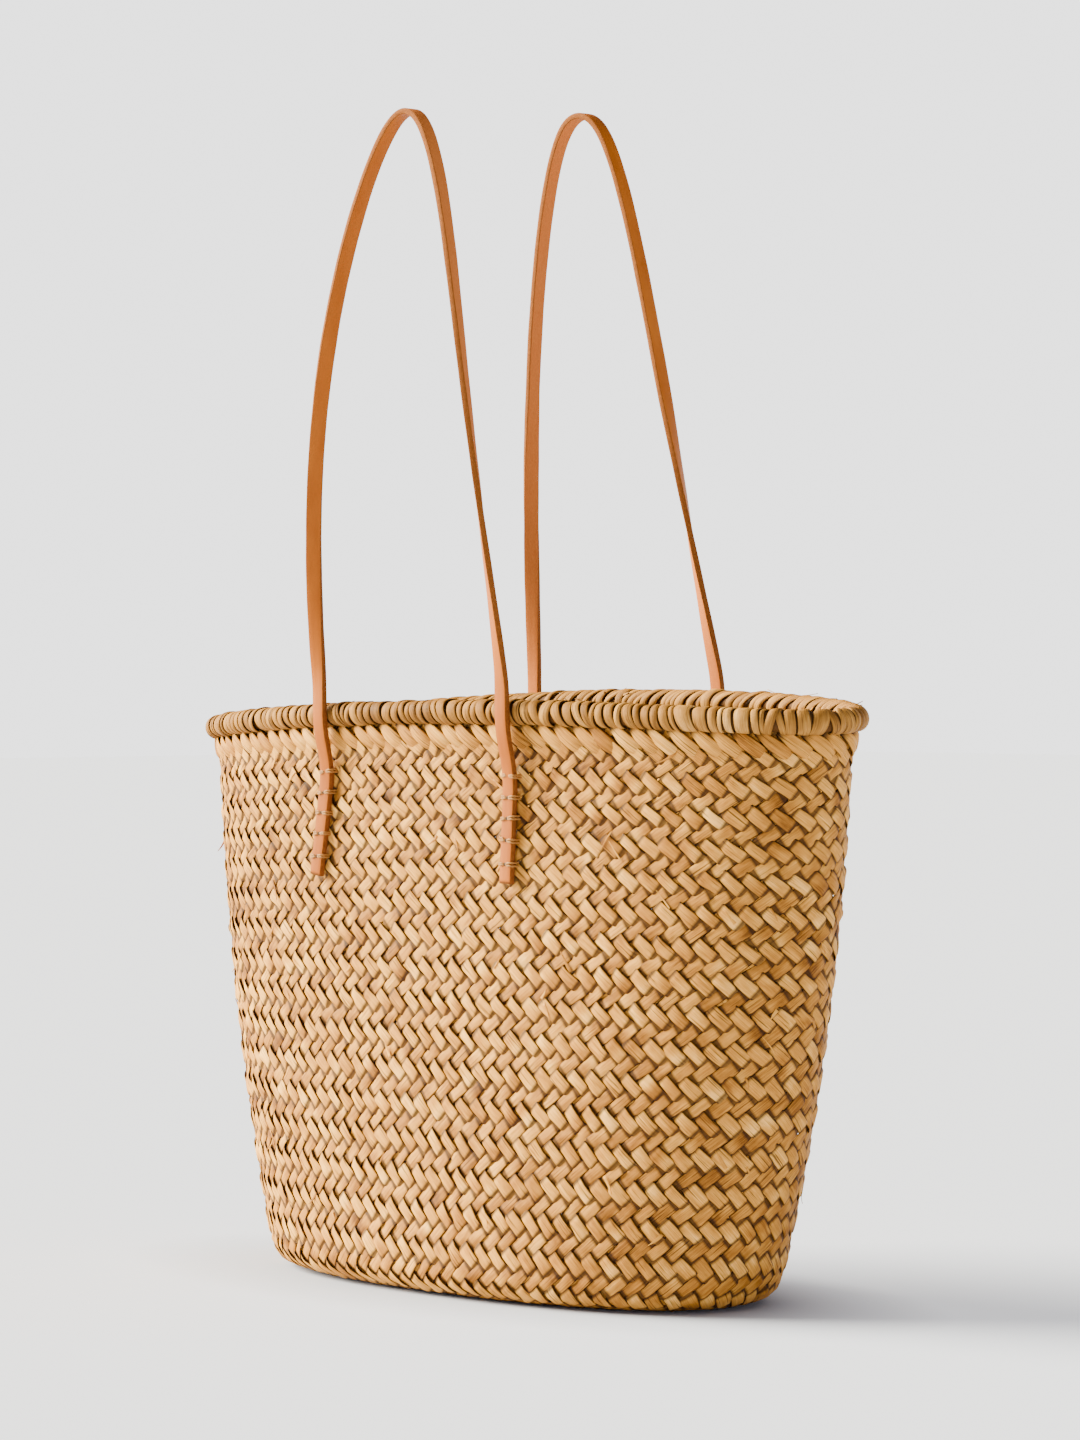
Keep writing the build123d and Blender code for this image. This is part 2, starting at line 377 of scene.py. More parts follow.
def palm_material(name, stops, shadow):
    """Dry leaf strip: a tone for each float, fibres along the strip, dark splits, and painted shade darkening
    the strips' edges, dives and tucks.
    """
    n = Nodes(name)
    tone = n.attribute("tone")
    fibre = n.attribute("fibre", "Vector")
    streak = n.noise(n.scaled(fibre, (0.05, 3.2, 1.0)), 1.0, 4.0, 0.65)
    patch = n.noise(n.scaled(fibre, (0.10, 0.35, 1.0)), 1.0, 3.0)
    split = n.noise(n.scaled(fibre, (0.035, 1.5, 1.7)), 1.0, 2.0)
    shifted = n.maths("ADD", tone, n.spread(streak, 0.3, 0.7, -0.24, 0.24))
    shifted = n.maths("ADD", shifted, n.spread(patch, 0.3, 0.7, -0.14, 0.14))
    colour = n.ramp(shifted, stops)
    colour = n.mix(n.spread(split, 0.33, 0.385, 0.80, 0.0), colour, shadow)
    # Painted shade: the colour goes towards the shadow colour where the gap shade attribute marks edges,
    # dives and tucks
    colour = n.mix(n.spread(n.attribute("painted_gap_shade"), 0.20, 0.90, 0.0, 0.95), colour, shadow)
    n.link(colour, n.shader.inputs["Base Color"])
    n.link(n.spread(streak, 0.3, 0.7, 0.50, 0.72), n.shader.inputs["Roughness"])
    n.shader.inputs["Specular IOR Level"].default_value = MATT_SPECULAR
    n.bump(streak, 0.5, 0.4)
    return n.material


GAP_SHADOW = (0.022, 0.007, 0.002, 1)
STRAW = palm_material("palm_strip", [
    (0.00, (0.13, 0.044, 0.006, 1)),
    (0.22, (0.28, 0.104, 0.012, 1)),
    (0.45, (0.44, 0.180, 0.026, 1)),
    (0.70, (0.62, 0.280, 0.044, 1)),
    (1.00, (0.86, 0.460, 0.115, 1)),
], GAP_SHADOW)
RIM_STRAW = palm_material("palm_rim_strip", [
    (0.00, (0.08, 0.030, 0.005, 1)),
    (0.25, (0.19, 0.078, 0.012, 1)),
    (0.50, (0.30, 0.130, 0.022, 1)),
    (0.75, (0.45, 0.215, 0.044, 1)),
    (1.00, (0.72, 0.400, 0.120, 1)),
], GAP_SHADOW)


def leather_material():
    """Tanned leather: smooth outer face, rougher and paler inner face, cut edges painted dark as shade with
    paler fibre flecks.
    """
    n = Nodes("strap_leather")
    cut_edge = n.attribute("edge")
    flesh = n.attribute("flesh")
    fibre = n.attribute("fibre", "Vector")
    broad = n.noise(n.scaled(fibre, (0.03, 0.10, 1.0)), 1.0, 3.0)
    grain = n.noise(n.scaled(fibre, (1.6, 1.6, 1.6)), 1.0, 4.0, 0.6)
    nap = n.noise(n.scaled(fibre, (0.8, 3.5, 3.5)), 1.0, 5.0, 0.7)
    outer = n.ramp(broad, [(0.3, (0.300, 0.074, 0.005, 1)), (0.7, (0.380, 0.102, 0.008, 1))])
    inner = n.ramp(nap, [(0.3, (0.33, 0.085, 0.014, 1)), (0.7, (0.50, 0.150, 0.030, 1))])
    # Cut edges: painted dark as the shade that falls on the strap's edges, with paler fibre flecks
    edge = n.ramp(nap, [(0.25, (0.10, 0.026, 0.004, 1)), (0.55, (0.20, 0.060, 0.010, 1)),
                        (0.8, (0.40, 0.150, 0.035, 1))])
    colour = n.mix(n.spread(flesh, 0.4, 0.6), outer, inner)
    colour = n.mix(n.spread(cut_edge, 0.4, 0.6), colour, edge)
    n.link(colour, n.shader.inputs["Base Color"])
    rough = n.maths("MAXIMUM", flesh, cut_edge)
    n.link(n.spread(rough, 0.0, 1.0, 0.48, 0.80), n.shader.inputs["Roughness"])
    n.shader.inputs["Specular IOR Level"].default_value = MATT_SPECULAR
    n.bump(n.mix(n.spread(rough, 0.4, 0.6), grain, nap), 0.35, 0.25)
    return n.material


def thread_material():
    """Twisted raffia, painted near black as shade where the hole attribute marks a stitch hole."""
    n = Nodes("raffia_thread")
    fibre = n.attribute("fibre", "Vector")
    streak = n.noise(n.scaled(fibre, (0.5, 4.0, 1.0)), 1.0, 3.0)
    colour = n.ramp(streak, [(0.3, (0.22, 0.080, 0.008, 1)), (0.7, (0.40, 0.165, 0.022, 1))])
    n.link(n.mix(n.attribute("painted_hole_shade"), colour, (0.02, 0.006, 0.002, 1)), n.shader.inputs["Base Color"])
    n.shader.inputs["Roughness"].default_value = 0.7
    n.bump(streak, 0.4, 0.2)
    return n.material


LEATHER = leather_material()
THREAD = thread_material()


# ---------------------------------------------------------------- woven strips
# Section of a strip: across in half widths, crown share, side of the strip (1 outside, -1 inside).
STRIP_SECTION = np.array([
    (-1.0, 0.0, 0.3), (-0.76, 0.75, 1.0), (0.0, 1.0, 1.0), (0.76, 0.75, 1.0),
    (1.0, 0.0, 0.3), (0.8, 0.5, -1.0), (0.0, 0.8, -1.0), (-0.8, 0.5, -1.0),
])
# Share of the painted edge shade at each point of the section, darkest on the strip's side edges
SECTION_EDGE = np.array([1.0, 0.0, 0.0, 0.0, 1.0, 0.5, 0.0, 0.5])
CROWN = 0.24
CROSSING_LENGTH = 6.9       # along a strip from one crossing to the next, for its fibres
SHINGLE = 0.07              # sideways tilt by which each float laps its neighbour
RIDGE = 0.36                # height of the ridge along each pair of rows
BROWN_STRIP = 76            # one "/" strip is clearly darker than the rest
OVER_REACH = 0.06           # crossings by which the "\" floats outreach the "/" floats


TWILL_PERIOD = 4.0          # crossings after which a strip repeats: over two, under two
LIFT_RAMP = 0.34            # half the crossings a strip takes to rise or dive
EDGE_PAINTED_SHADE, DIVE_PAINTED_SHADE = 0.95, 1.15    # painted shade: how far the strips' colour is darkened along their edges and where they dive
# The two families of strips: lean 1 is the "\" family and lean -1 the "/" family, whose floats start
# two crossings later. width is a strip's width where it passes under, as a share of the strips' spacing.
# The "/" family's lower tone is partly the leaf's own colour and partly painted shade on those floats.
FAMILIES = (
    dict(name="left_slant", seed=31, lean=1.0, start=0.0, reach=OVER_REACH, high=0.62, low=-0.42,
         tone=0.63, width=0.965, run_shift=0.5, brown_strips=[]),
    dict(name="right_slant", seed=47, lean=-1.0, start=2.0, reach=-OVER_REACH, high=0.46, low=-0.58,
         tone=0.47, width=0.99, run_shift=2.5, brown_strips=[BROWN_STRIP]),
)


def family_phase(crossing, family):
    """Position in the twill period, in which 0 to 1 are the family's own floats."""
    return (crossing + PATTERN_SHIFT - family["start"] + 0.5) % TWILL_PERIOD - 0.5


def float_span(family):
    """Phases at which a float of the family rises and dives."""
    return -0.5 - family["reach"], 1.5 + family["reach"]


def lift(phase, family):
    """How far a strip stands out from the middle surface at a phase, and its share of being over."""
    rise_at, fall_at = float_span(family)
    shifted = np.where(phase > 3.0, phase - TWILL_PERIOD, phase)
    rising = smooth((shifted - rise_at + LIFT_RAMP) / (2 * LIFT_RAMP))
    falling = smooth((phase - fall_at + LIFT_RAMP) / (2 * LIFT_RAMP))
    over = rising * np.where(phase > 3.0, 1.0, 1 - falling)
    return family["low"] + (family["high"] - family["low"]) * over, over


def sample_crossings(first, last, family):
    """Crossing numbers at which a strip is sampled: dense where it passes under and over."""
    start = family["start"] - PATTERN_SHIFT
    rise_at, fall_at = float_span(family)
    steps = [rise_at - 0.4, rise_at - 0.15, rise_at + 0.12, rise_at + 0.4, 0.15, 0.85,
             fall_at - 0.4, fall_at - 0.12, fall_at + 0.15, fall_at + 0.4, 2.2, 2.8]
    periods = np.arange(math.floor(first / 4) - 2, math.ceil(last / 4) + 2) * TWILL_PERIOD
    numbers = np.sort((periods[:, None] + np.array(steps)[None, :] + start).ravel())
    numbers = numbers[(numbers > first + 0.05) & (numbers < last - 0.05)]
    return np.concatenate([[first], numbers, [last]])


def float_tones(count, runs, mean):
    """Tone of every float of every strip: each strip has its own, and a few floats stand out."""
    strip_tone = RNG.normal(0, 0.07, (count, 1))
    tones = mean + strip_tone + RNG.normal(0, 0.10, (count, runs))
    golden = RNG.random((count, runs)) < 0.07
    tones[golden] -= RNG.uniform(0.15, 0.30, golden.sum())
    brown = RNG.random(count) < 0.03
    tones[brown] -= 0.16
    return np.clip(tones, 0.04, 0.98)


def weave_family(family, indices):
    """Points, faces and attributes of some strips of one family over the body."""
    first, last = -3.0, 2 * (ROWS - 0.55)
    lean = family["lean"]
    crossings = sample_crossings(first, last, family)
    rings, around = len(crossings), len(STRIP_SECTION)
    rng = np.random.default_rng(family["seed"])
    height, over = lift(family_phase(crossings, family), family)
    run = np.floor((crossings - (crossings[0] - 8) + family["run_shift"]) / 2).astype(int)
    runs = run.max() + 1
    tones = float_tones(STRIPS, runs, family["tone"])
    tones[family["brown_strips"]] -= 0.24
    waves = rng.uniform(0, 2 * math.pi, (STRIPS, 6))
    width_scale = rng.uniform(0.92, 1.09, STRIPS)
    float_lift = rng.normal(0, 0.10, (STRIPS, runs))
    float_tilt = rng.normal(0, 0.10, (STRIPS, runs))
    seeds = rng.uniform(0, 400, STRIPS)
    row = crossings / 2
    pitch_across = np.interp(row_along(row), ALONGS, GIRTH) / STRIPS
    pitch_up = row_pitch(row)
    slope = np.hypot(pitch_across, pitch_up)
    spacing = pitch_across * pitch_up / slope
    ridge = RIDGE * np.cos(math.pi * (row - 0.25 + PATTERN_SHIFT / 2))
    # Painted shade: darkest where a strip dives under its crossing strip, and along its side edges
    dive = np.clip(4 * over * (1 - over), 0, 1)[:, None]
    painted_gap_shade = np.clip(DIVE_PAINTED_SHADE * dive + EDGE_PAINTED_SHADE * SECTION_EDGE[None, :], 0, 1).ravel()
    points, faces, tone_values, fibres = [], [], [], []
    for strip in indices:
        w = waves[strip]
        sway = 0.30 * np.sin(crossings * 0.83 + w[0]) + 0.22 * np.sin(crossings * 1.91 + w[1])
        breathe = 1 + 0.05 * np.sin(crossings * 0.6 + w[2]) + 0.06 * np.sin(crossings * 1.57 + w[3])
        half = 0.5 * spacing * width_scale[strip] * breathe * (family["width"] + 0.08 * over)
        out = height + float_lift[strip, run] * over + ridge
        across = STRIP_SECTION[:, 0][None, :] * half[:, None]
        tilt = (float_tilt[strip, run] + lean * SHINGLE) * over
        drop = out[:, None] + CROWN * (STRIP_SECTION[:, 1][None, :] - 0.5) * (0.35 + 0.65 * over)[:, None]
        drop = drop + STRIP_SECTION[:, 2][None, :] * STRIP_THICKNESS / 2 + tilt[:, None] * across
        side = across + sway[:, None]
        share = (strip - 0.5 * lean * crossings) / STRIPS
        share = share[:, None] + lean * side * (pitch_up / slope / pitch_across)[:, None] / STRIPS
        rise = row[:, None] + side * (pitch_across / slope / pitch_up)[:, None]
        start = len(points) * rings * around
        points.append(surface(row_along(rise), share, drop).reshape(-1, 3))
        faces += [part if lean > 0 else part[:, ::-1] for part in strip_faces(rings, around, start)]
        tone_values.append(np.repeat(tones[strip, run], around))
        fibres.append(fibre_coordinates(crossings * CROSSING_LENGTH, side, seeds[strip], around))
    return (np.concatenate(points), np.concatenate(faces),
            {"tone": np.concatenate(tone_values), "fibre": np.concatenate(fibres),
             "painted_gap_shade": np.tile(painted_gap_shade, len(points))})


def build_wall():
    """Both families of strips, each in three pieces."""
    pieces = []
    for family in FAMILIES:
        for part, indices in enumerate(np.array_split(np.arange(STRIPS), 3), start=1):
            points, faces, attributes = weave_family(family, indices)
            points[:, 2] = np.maximum(points[:, 2], 0.0)
            name = f"wall_{family['name']}_strips_{part}"
            pieces.append(make_object(name, points, faces, attributes, STRAW))
    return pieces


wall = build_wall()
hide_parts("woven_wall")


# ---------------------------------------------------------------- folded hem strips under the rim
HEM_LENGTH = 18.0           # of one folded strip, for its fibres


def build_hem():
    """Wide strips folded over below the rim: each comes out from under it and tucks in again."""
    samples, around = 17, len(STRIP_SECTION)
    t = np.linspace(0, 1, samples)
    points, faces, tones, fibres = [], [], [], []
    for index in range(STRIPS):
        reach = RNG.uniform(0.93, 1.07)
        row = HEM_ROWS[1] + (HEM_ROWS[0] - HEM_ROWS[1]) * t * reach
        half = RNG.uniform(3.3, 4.1) * (0.62 + 0.38 * smooth(t / 0.5))
        end = np.clip((t - 0.66) / 0.34, 0, 1)
        half = half * np.sqrt(np.clip(1 - 0.93 * end ** 2.4, 0, 1))
        bulge = RNG.uniform(1.9, 2.6)
        out = 0.5 + bulge * np.sin(math.pi * np.clip(t, 0, 1) ** 0.9) - 1.5 * end ** 2
        share_mid = (index + RNG.uniform(-0.12, 0.12) + 0.95 * (HEM_ROWS[1] - row) - 0.6) / STRIPS
        along = row_along(row)
        across_pitch = np.interp(along, ALONGS, GIRTH) / STRIPS
        up_pitch = row_pitch(row)
        travel = np.array([0.95 * across_pitch.mean(), -up_pitch.mean()])
        travel /= np.linalg.norm(travel)
        side = STRIP_SECTION[:, 0][None, :] * half[:, None]
        share = share_mid[:, None] - side * travel[1] / across_pitch[:, None] / STRIPS
        rise = row[:, None] + side * travel[0] / up_pitch[:, None]
        slant = RNG.uniform(0.02, 0.10)
        drop = out[:, None] + 0.8 * (STRIP_SECTION[:, 1][None, :] - 0.5) + slant * side
        drop = drop + STRIP_SECTION[:, 2][None, :] * STRIP_THICKNESS / 2
        points.append(surface(row_along(rise), share, drop).reshape(-1, 3))
        base = index * samples * around
        faces += strip_faces(samples, around, base)
        tones.append(np.full(samples * around, np.clip(RNG.normal(0.56, 0.13), 0.1, 0.95)))
        fibres.append(fibre_coordinates(t * HEM_LENGTH, side, RNG.uniform(0, 400), around))
    # Painted shade: darker where a strip comes out from under the coil, where it tucks in again, and along
    # its edges
    painted_end_shade = 0.95 * smooth((0.34 - t) / 0.34) + 0.60 * smooth((t - 0.84) / 0.16)
    edge = np.clip(0.80 * SECTION_EDGE[None, :] + painted_end_shade[:, None], 0, 1)
    attributes = {"tone": np.concatenate(tones), "fibre": np.concatenate(fibres),
                  "painted_gap_shade": np.tile(edge.ravel(), STRIPS)}
    return make_object("hem_folded_strips", np.concatenate(points), np.concatenate(faces),
                       attributes, STRAW)


hem = build_hem()


# ---------------------------------------------------------------- wrapped rim
RIM_STEPS = 4096
RIM_TURNS = 188
CROSSED_SHARE = 0.15        # share of the turns that cross their neighbours
COIL_RADIUS = 5.35          # from the rim's centre line to the middle of a turn
TURN_START, TURN_SWEEP = math.radians(-95), math.radians(342)
TURN_LENGTH = 36.0          # of one turn, for its fibres


def rim_frames():
    """Centre line, outward and up directions of the rim at equal steps, and its length."""
    angle = np.linspace(0, 2 * math.pi, 2 * RIM_STEPS + 1)
    x, y = power_oval(RIM_HALF_LENGTH, RIM_HALF_DEPTH, RIM_SQUARENESS, angle)
    line = np.stack([x, y, rim_height_at(x, y)], -1)
    length = path_lengths(line)
    line = resample(line, length, np.linspace(0, length[-1], RIM_STEPS + 1))[:-1]
    tangent = unit(np.roll(line, -1, 0) - np.roll(line, 1, 0))
    outward = unit(np.cross(tangent, [0, 0, 1.0]))
    return line, outward, np.cross(outward, tangent), length[-1]


RIM_LINE, RIM_OUT, RIM_UP, RIM_LENGTH = rim_frames()


def on_rim(distance, angle, radius):
    """Point of the coil at a distance along the rim and an angle up from outward."""
    at = (distance / RIM_LENGTH * len(RIM_LINE)) % len(RIM_LINE)
    low = at.astype(int) % len(RIM_LINE)
    high, part = (low + 1) % len(RIM_LINE), (at - at.astype(int))[..., None]
    centre = RIM_LINE[low] * (1 - part) + RIM_LINE[high] * part
    outward = RIM_OUT[low] * (1 - part) + RIM_OUT[high] * part
    up = RIM_UP[low] * (1 - part) + RIM_UP[high] * part
    return centre + radius[..., None] * (np.cos(angle)[..., None] * outward + np.sin(angle)[..., None] * up)


RIM_SECTION = STRIP_SECTION.copy()
RIM_SECTION[[1, 3], :2] = (-0.80, 0.80), (0.80, 0.80)


def build_rim():
    """Separate slanted turns of leaf strip round the rim's core, each lapping the one before."""
    samples, around = 26, len(RIM_SECTION)
    widths = np.clip(RNG.normal(1.0, 0.27, RIM_TURNS), 0.45, 1.7)
    widths *= RIM_LENGTH / widths.sum()
    starts = np.concatenate([[0], np.cumsum(widths)])
    t = np.linspace(0, 1, samples)
    angle = TURN_START + t * TURN_SWEEP
    points, faces, tones, fibres = [], [], [], []
    tone = 0.5
    for turn in range(RIM_TURNS):
        width = widths[turn]
        crossed = RNG.random() < CROSSED_SHARE
        slant = RNG.normal(-0.9, 0.7) + (RNG.choice((-2.0, 2.0)) if crossed else 0.0)
        middle = starts[turn] + width / 2 + slant * np.sin(angle)
        middle = middle + RNG.uniform(1.0, 2.4) * RIM_LENGTH / RIM_TURNS * smooth((t - 0.42) / 0.45)
        half = 0.5 * width * RNG.uniform(0.90, 1.05) * (1 - 0.12 * (1 - np.sin(math.pi * t)))
        side = RIM_SECTION[:, 0][None, :] * half[:, None]
        tilt = RNG.normal(0.06, 0.06)
        crown = RNG.uniform(0.35, 0.75)
        radius = COIL_RADIUS + RNG.normal(0, 0.15) + (0.3 if crossed else 0.0) + tilt * side
        radius = radius + crown * (RIM_SECTION[:, 1][None, :] - 0.3) + RIM_SECTION[:, 2][None, :] * 0.32
        points.append(on_rim(middle[:, None] + side, angle[:, None] + 0 * side, radius).reshape(-1, 3))
        base = turn * samples * around
        faces += strip_faces(samples, around, base)
        if turn % 9 == 0:
            tone = RNG.normal(0.52, 0.07)
        shade = np.clip(tone + RNG.normal(0, 0.09), 0.08, 0.95)
        tones.append(np.full(samples * around, shade))
        fibres.append(fibre_coordinates(t * TURN_LENGTH, side, RNG.uniform(0, 400), around))
    # Painted shade along the edges of each turn
    edge = np.tile(SECTION_EDGE, RIM_TURNS * samples)
    attributes = {"tone": np.concatenate(tones), "fibre": np.concatenate(fibres), "painted_gap_shade": edge}
    return make_object("rim_wrapped_turns", np.concatenate(points), np.concatenate(faces),
                       attributes, RIM_STRAW)


rim = build_rim()
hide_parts("rim_wrapping")


# ---------------------------------------------------------------- loose slivers and ends
def slivers(count, place, length_range, width_range, name, material):
    """Thin curling splinters of leaf; place gives start, heading, outward direction for each."""
    samples, around = 7, len(STRIP_SECTION)
    t = np.linspace(0, 1, samples)
    points, faces, tones, fibres = [], [], [], []
    for index in range(count):
        start, heading, outward = place()
        aside = np.cross(outward, heading)
        aside /= np.linalg.norm(aside)
        length, curl, bend = RNG.uniform(*length_range), RNG.uniform(0.02, 0.25), RNG.normal(0, 0.35)
        line = (start + np.outer(t * length, heading) + np.outer(curl * length * t ** 2, outward)
                + np.outer(bend * length * t ** 2 * 0.5, aside))
        half = 0.5 * RNG.uniform(*width_range) * (1 - 0.9 * t ** 2)
        flat = STRIP_SECTION[:, 0][None, :, None] * half[:, None, None] * aside
        thick = STRIP_SECTION[:, 2][None, :, None] * 0.14 * outward
        points.append((line[:, None, :] + flat + thick).reshape(-1, 3))
        faces += strip_faces(samples, around, index * samples * around)
        tones.append(np.full(samples * around, RNG.uniform(0.25, 0.8)))
        fibres.append(fibre_coordinates(t * length, np.zeros(samples * around), RNG.uniform(0, 400), around))
    attributes = {"tone": np.concatenate(tones), "fibre": np.concatenate(fibres)}
    return make_object(name, np.concatenate(points), np.concatenate(faces), attributes, material)


def on_wall():
    """A splinter that lifts off a float along one of the two strip directions."""
    row, share = np.array([RNG.uniform(4, ROWS - 2)]), np.array([RNG.random()])
    start = surface(row_along(row), share, np.array([1.3]))[0]
    step = RNG.choice((-1.0, 1.0)) * 0.5 / STRIPS
    ahead = surface(row_along(row + 0.8), share + step, np.array([1.3]))[0]
    heading = (ahead - start) * RNG.choice((-1.0, 1.0))
    outward = sample(RING_NORMALS, row_along(row), share)[0]
    return start, heading / np.linalg.norm(heading), outward / np.linalg.norm(outward)


def at_rim(low, high, reach):
    """A loose end that leaves the coil between two angles, more or less along the rim."""
    distance, angle = np.array([RNG.uniform(0, RIM_LENGTH)]), np.array([math.radians(RNG.uniform(low, high))])
    start, centre = (on_rim(distance, angle, np.array([r]))[0] for r in (reach, 0.0))
    outward = (start - centre) / np.linalg.norm(start - centre)
    along = on_rim(distance + RNG.choice((-1.0, 1.0)), angle, np.array([reach]))[0] - start
    turned = along / np.linalg.norm(along) + RNG.uniform(-1.2, 1.2) * np.cross(outward, along)
    return start, turned / np.linalg.norm(turned), outward


wall_slivers = slivers(90, on_wall, (5, 12), (0.6, 2.0), "wall_loose_slivers", STRAW)
rim_slivers = slivers(46, lambda: at_rim(70, 215, 5.9), (4, 9), (0.6, 2.6), "rim_loose_ends", RIM_STRAW)


# ---------------------------------------------------------------- base mat
def build_base():
    """Flat diagonal plait that fills the base inside the turned-up strips."""
    half_length, half_depth, squareness = outline(0.0, TURN_UP_RADIUS - 4.0)
    around = len(STRIP_SECTION)
    points, faces, tones, fibres = [], [], [], []
    placed = 0
    for family, slope in ((0, 1.0), (1, -1.0)):
        way = np.array([1.0, slope]) / math.sqrt(2)
        normal = np.array([-way[1], way[0]])
        for index in range(-28, 29):
            line = np.linspace(-220, 220, 1761)
            spots = normal[None, :] * index * STRIP_SPACING + way[None, :] * line[:, None]
            inside = (np.abs(spots[:, 0] / half_length) ** squareness
                      + np.abs(spots[:, 1] / half_depth) ** squareness) < 1
            if inside.sum() < 40:
                continue
            stretch = line[inside]
            steps = max(int((stretch[-1] - stretch[0]) / STRIP_SPACING * 3), 4)
            t = np.linspace(stretch[0], stretch[-1], steps)
            crossing = t / STRIP_SPACING
            phase = crossing + (index if family else -index) + (0 if family else 2)
            over = 0.5 + 0.5 * np.clip(1.6 * np.cos(math.pi / 2 * (phase - 0.5)), -1, 1)
            out = 2.5 + over
            half = 0.5 * STRIP_SPACING * RNG.uniform(0.92, 1.0)
            side = STRIP_SECTION[:, 0][None, :] * half + 0 * t[:, None]
            flat = (normal[None, None, :] * (index * STRIP_SPACING + side[..., None])
                    + way[None, None, :] * t[:, None, None])
            high = out[:, None] + CROWN * (STRIP_SECTION[:, 1][None, :] - 0.5)
            high = high + STRIP_SECTION[:, 2][None, :] * STRIP_THICKNESS / 2
            points.append(np.concatenate([flat, high[..., None]], -1).reshape(-1, 3))
            faces += [part[:, ::-1] for part in strip_faces(steps, around, placed)]
            placed += steps * around
            run = np.floor((phase + 0.5) / 2).astype(int)
            shades = np.clip(RNG.normal(0.5, 0.11, run.max() - run.min() + 1), 0.1, 0.95)
            tones.append(np.repeat(shades[run - run.min()], around))
            fibres.append(fibre_coordinates(t, side, RNG.uniform(0, 400), around))
    attributes = {"tone": np.concatenate(tones), "fibre": np.concatenate(fibres)}
    return make_object("base_mat_strips", np.concatenate(points), np.concatenate(faces), attributes, STRAW)


base = build_base()
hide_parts("woven_base")


# ---------------------------------------------------------------- leather straps
STRAP_STEP = 2.2            # between two sections of a strap
THREAD_STEP = 0.35
THREAD_RADIUS = 0.52
HOLE_RADIUS = 0.5


def strap_middle(side, end, height):
    """Distance of a strap end's middle line from the centre, along the basket."""
    lowered = np.maximum(LIFT_HEIGHTS[0] - height, 0.0) / (LIFT_HEIGHTS[0] - STRAP_END_HEIGHT)
    return end * STRAP_HALF_SPACING + TIP_SHIFT[side, end] * lowered


def strap_depth(side, end, height):
    """Distance from the long axis to the middle of a sewn-down strap end."""
    sewn_down = wall_depth(np.minimum(height, 280.0), strap_middle(side, end, height))
    sewn_down = sewn_down + STRAP_THICKNESS / 2 + 0.25
    share = smooth((height - LIFT_HEIGHTS[0] + 6) / (LIFT_HEIGHTS[1] - LIFT_HEIGHTS[0] + 8))
    return sewn_down + (flex_depth() - sewn_down) * share


def strap_line(side):
    """Even points along a whole strap in front-side coordinates, right tip to left tip."""
    arch = ARCHES[side]
    up = np.arange(STRAP_END_HEIGHT, FLEX_HEIGHT - 1.0, 1.0)
    turn = np.linspace(0, math.pi, 721)
    rise = np.maximum(np.sin(turn), 0.0) ** (2 / arch["rise_power"])
    spread = np.sign(np.cos(turn)) * np.abs(np.cos(turn)) ** (2 / arch["spread_power"])
    out = arch["bow"] * np.sin(math.pi * rise)
    lean = math.radians(arch["lean"])
    height = arch["rise"] * rise
    depth = flex_depth() + out * math.cos(lean) - height * math.sin(lean)
    level = FLEX_HEIGHT + height * math.cos(lean) + out * math.sin(lean)
    arch_points = np.stack([STRAP_HALF_SPACING * spread, -depth, level], -1)
    feet = [np.stack([strap_middle(side, end, up), -strap_depth(side, end, up), up], -1)
            for end in (RIGHT, LEFT)]
    line = np.concatenate([feet[0], arch_points, feet[1][::-1]])
    length = path_lengths(line)
    even = np.linspace(0, length[-1], int(length[-1] / STRAP_STEP))
    line = resample(line, length, even)
    relax(line, 14)
    return line, even


# Section of a strap: across and outward as shares of the half sizes, cut edge, flesh side
STRAP_SECTION = np.array([
    (-0.87, 1.0, 0, 0), (-0.3, 1.04, 0, 0), (0.3, 1.04, 0, 0), (0.87, 1.0, 0, 0),
    (0.96, 0.93, 1, 0), (1.0, 0.71, 1, 0), (1.0, 0.0, 1, 0), (1.0, -0.71, 1, 0), (0.96, -0.93, 1, 1),
    (0.87, -1.0, 0, 1), (0.3, -1.0, 0, 1), (-0.3, -1.0, 0, 1), (-0.87, -1.0, 0, 1),
    (-0.96, -0.93, 1, 1), (-1.0, -0.71, 1, 0), (-1.0, 0.0, 1, 0), (-1.0, 0.71, 1, 0), (-0.96, 0.93, 1, 0),
])


